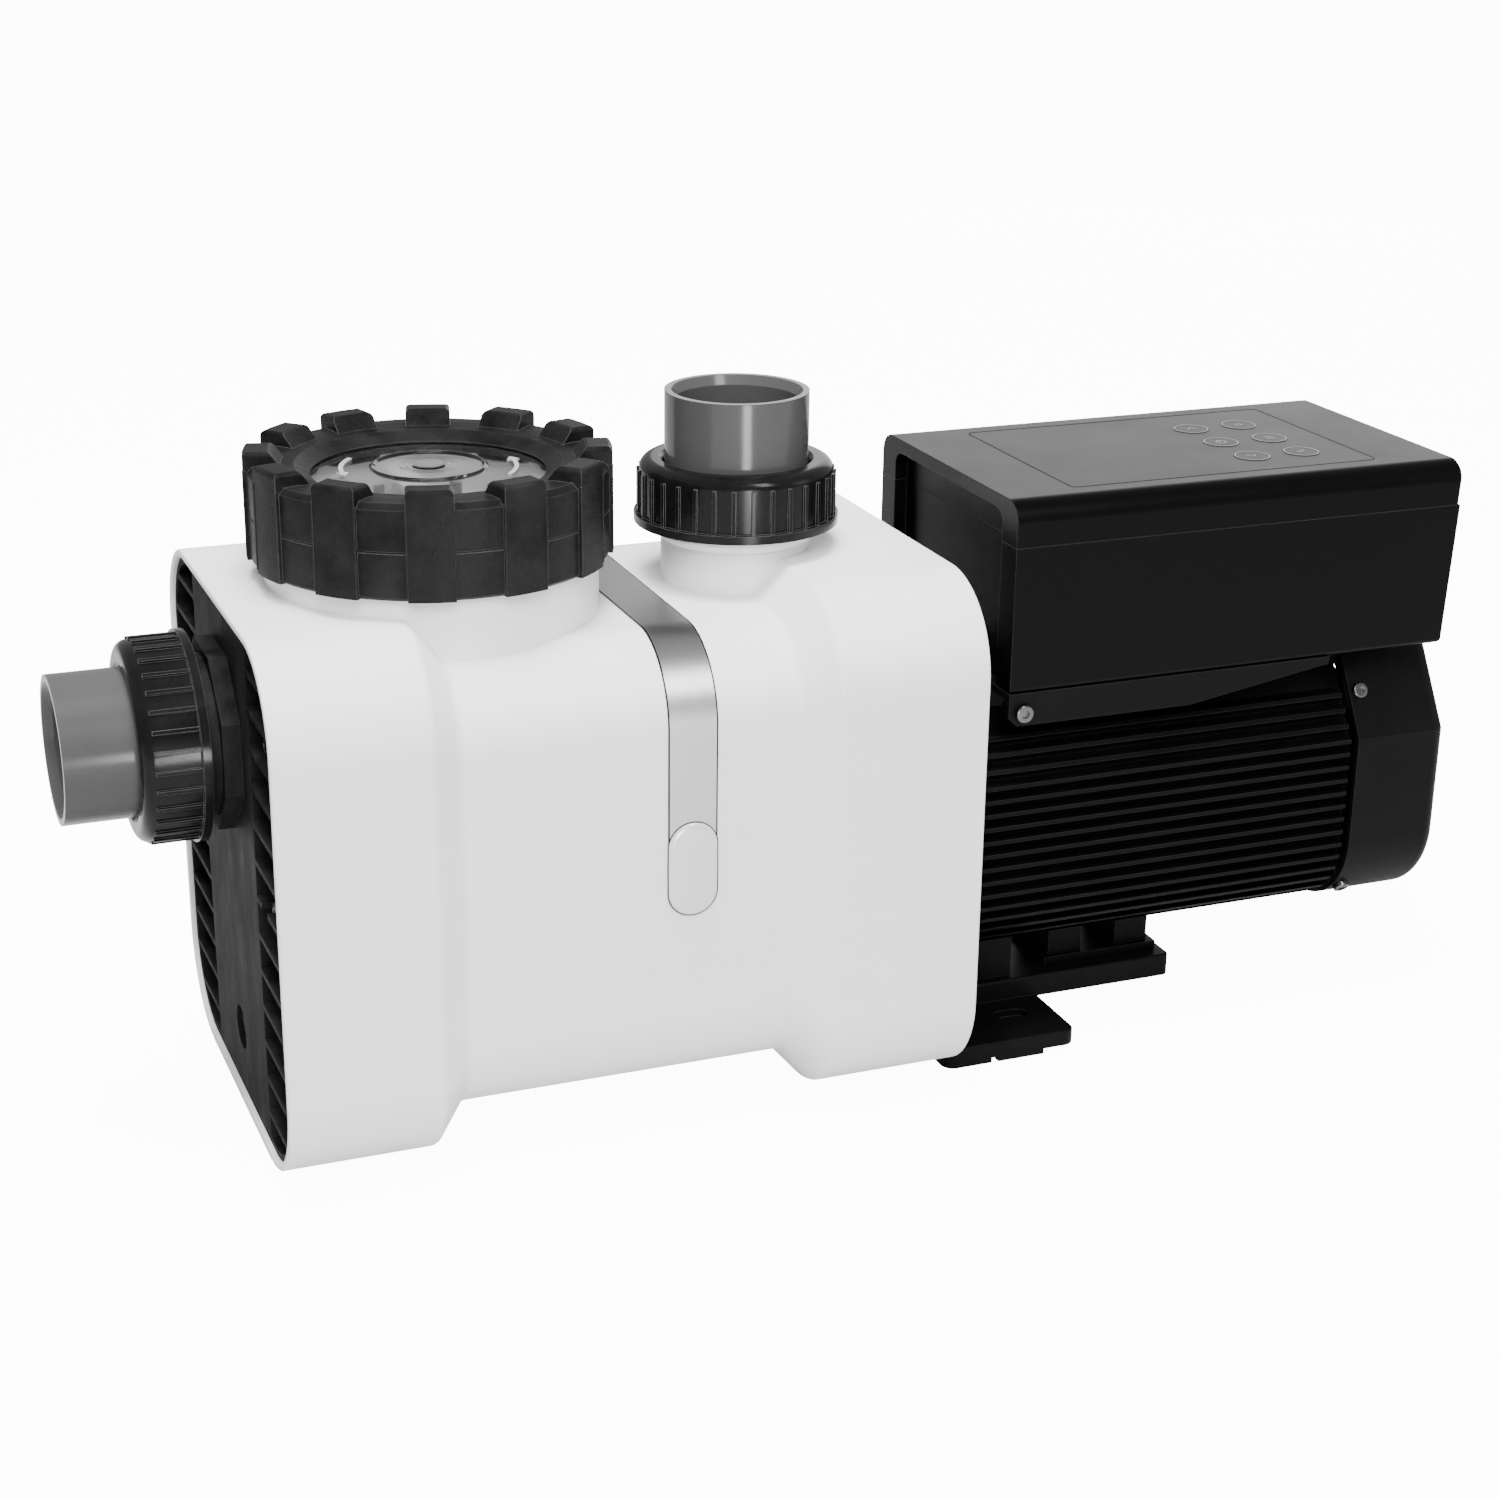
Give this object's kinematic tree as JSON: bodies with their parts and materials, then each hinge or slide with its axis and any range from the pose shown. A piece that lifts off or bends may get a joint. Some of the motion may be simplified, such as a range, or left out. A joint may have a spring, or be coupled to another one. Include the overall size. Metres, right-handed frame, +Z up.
{
  "type": "pool pump",
  "caption": "Self-priming pool pump: white moulded cover, clear strainer lid under a lugged screw ring, two union sockets, finned motor with fan cowl, control box and a low T-shaped foot.",
  "frame": {"origin": "on the floor, midway between the foot's two fixing holes", "axes": "+X along the shaft from the suction end towards the motor, +Y to the rear side with the cable gland, +Z up along the discharge"},
  "size_m": [0.7625, 0.248, 0.3674],
  "materials": {
    "white_cover": "satin white",
    "black_plastic": "satin black",
    "grey_pvc": "plain grey",
    "white_basket": "translucent white",
    "clear_plastic": "clear",
    "rubber": "matt",
    "seal_ceramic": "ground",
    "brushed_strip": "brushed",
    "steel": "plain",
    "core_steel": "stamped sheets",
    "copper": "enamelled",
    "black_aluminium": "black paint",
    "black_box": "satin black",
    "black_foil": "semi-gloss",
    "board": "circuit board"
  },
  "bodies": {
    "pump": {"cover_hood": "white_cover", "cover_tray": "white_cover", "trim_strip": "brushed_strip", "badge": "clear_plastic", "strainer_housing": "black_plastic", "strainer_foot": "black_plastic", "end_panel": "black_plastic", "end_panel_screws": "steel", "discharge_adapter": "white_cover", "pump_casing": "black_plastic", "inlet_o_ring": "rubber", "diffuser": "white_basket", "seal_seat": "seal_ceramic", "seal_housing": "black_plastic", "casing_o_ring": "rubber", "casing_bolts": "steel", "motor_flange": "black_aluminium", "motor_housing": "black_aluminium", "stator": "core_steel", "windings": "copper", "front_bearing": "steel", "rear_bearing": "steel", "rear_shield": "black_aluminium", "fan_cowl": "black_plastic", "cowl_screws": "steel", "inverter_base": "black_box", "inverter_lid": "black_box", "keypad": "black_foil", "control_board": "board", "cable_gland": "black_plastic", "box_bracket": "black_plastic", "bracket_screws": "steel", "base_foot": "black_plastic", "foot_screws": "steel", "motor_saddle": "black_plastic"},
    "rotor": {"shaft": "steel", "impeller": "white_basket", "seal_rotating": "seal_ceramic", "slinger": "rubber", "rotor_core": "core_steel", "fan": "black_plastic"},
    "lid_seal": {"lid_o_ring": "rubber"},
    "lid": {"sight_lid": "clear_plastic"},
    "ring": {"lid_ring": "black_plastic"},
    "basket": {"strainer_basket": "white_basket"},
    "suction_end": {"suction_tail": "grey_pvc", "suction_o_ring": "rubber"},
    "suction_union_nut": {"suction_nut": "black_plastic"},
    "discharge_end": {"discharge_tail": "grey_pvc", "discharge_o_ring": "rubber"},
    "discharge_union_nut": {"discharge_nut": "black_plastic"},
    "drain_seal": {"drain_o_ring": "rubber"},
    "drain_screw": {"drain_plug": "black_plastic"},
    "key_1_body": {"key_1": "black_foil"},
    "key_2_body": {"key_2": "black_foil"},
    "key_3_body": {"key_3": "black_foil"},
    "key_4_body": {"key_4": "black_foil"},
    "key_5_body": {"key_5": "black_foil"},
    "key_6_body": {"key_6": "black_foil"}
  },
  "joints": [
    {"name": "rotor_spin", "type": "hinge", "parent": "pump", "child": "rotor", "pos_m": [-0.1475, 0, 0.1255], "axis": [1, 0, 0], "continuous": true},
    {"name": "lid_lift", "type": "slide", "parent": "pump", "child": "lid_seal", "axis": [0, 0, 1], "range_m": [0, 0.3]},
    {"name": "lid_rise", "type": "slide", "parent": "lid_seal", "child": "lid", "axis": [0, 0, 1], "range_m": [0, 0.012]},
    {"name": "ring_turn", "type": "hinge", "parent": "lid", "child": "ring", "pos_m": [-0.3115, 0, 0.3], "axis": [0, 0, 1], "range_deg": [0, 540]},
    {"name": "basket_lift", "type": "slide", "parent": "pump", "child": "basket", "axis": [0, 0, 1], "range_m": [0, 0.255]},
    {"name": "suction_draw", "type": "slide", "parent": "pump", "child": "suction_end", "axis": [-1, 0, 0], "range_m": [0, 0.0116]},
    {"name": "suction_nut_turn", "type": "hinge", "parent": "suction_end", "child": "suction_union_nut", "pos_m": [-0.4475, 0, 0.2136], "axis": [-1, 0, 0], "range_deg": [0, 1800]},
    {"name": "discharge_draw", "type": "slide", "parent": "pump", "child": "discharge_end", "axis": [0, 0, 1], "range_m": [0, 0.0116]},
    {"name": "discharge_nut_turn", "type": "hinge", "parent": "discharge_end", "child": "discharge_union_nut", "pos_m": [-0.1475, 0, 0.31], "axis": [0, 0, 1], "range_deg": [0, 1800]},
    {"name": "drain_draw", "type": "slide", "parent": "pump", "child": "drain_seal", "axis": [-1, 0, 0], "range_m": [0, 0.0046]},
    {"name": "drain_turn", "type": "hinge", "parent": "drain_seal", "child": "drain_screw", "pos_m": [-0.4125, 0, 0.05], "axis": [-1, 0, 0], "range_deg": [0, 1080]},
    {"name": "key_1_press", "type": "slide", "parent": "pump", "child": "key_1_body", "axis": [0, 0, -1], "range_m": [0, 0.0004], "stiffness_N_per_m": 2500},
    {"name": "key_2_press", "type": "slide", "parent": "pump", "child": "key_2_body", "axis": [0, 0, -1], "range_m": [0, 0.0004], "stiffness_N_per_m": 2500},
    {"name": "key_3_press", "type": "slide", "parent": "pump", "child": "key_3_body", "axis": [0, 0, -1], "range_m": [0, 0.0004], "stiffness_N_per_m": 2500},
    {"name": "key_4_press", "type": "slide", "parent": "pump", "child": "key_4_body", "axis": [0, 0, -1], "range_m": [0, 0.0004], "stiffness_N_per_m": 2500},
    {"name": "key_5_press", "type": "slide", "parent": "pump", "child": "key_5_body", "axis": [0, 0, -1], "range_m": [0, 0.0004], "stiffness_N_per_m": 2500},
    {"name": "key_6_press", "type": "slide", "parent": "pump", "child": "key_6_body", "axis": [0, 0, -1], "range_m": [0, 0.0004], "stiffness_N_per_m": 2500}
  ],
  "couplings": [
    {"joint": "lid_rise", "follows": "ring_turn", "m_per_rad": 0.001273},
    {"joint": "basket_lift", "follows": "lid_lift", "ratio": 0.85},
    {"joint": "suction_draw", "follows": "suction_nut_turn", "m_per_rad": 0.00036749},
    {"joint": "discharge_draw", "follows": "discharge_nut_turn", "m_per_rad": 0.00036749},
    {"joint": "drain_draw", "follows": "drain_turn", "m_per_rad": 0.00023873}
  ]
}
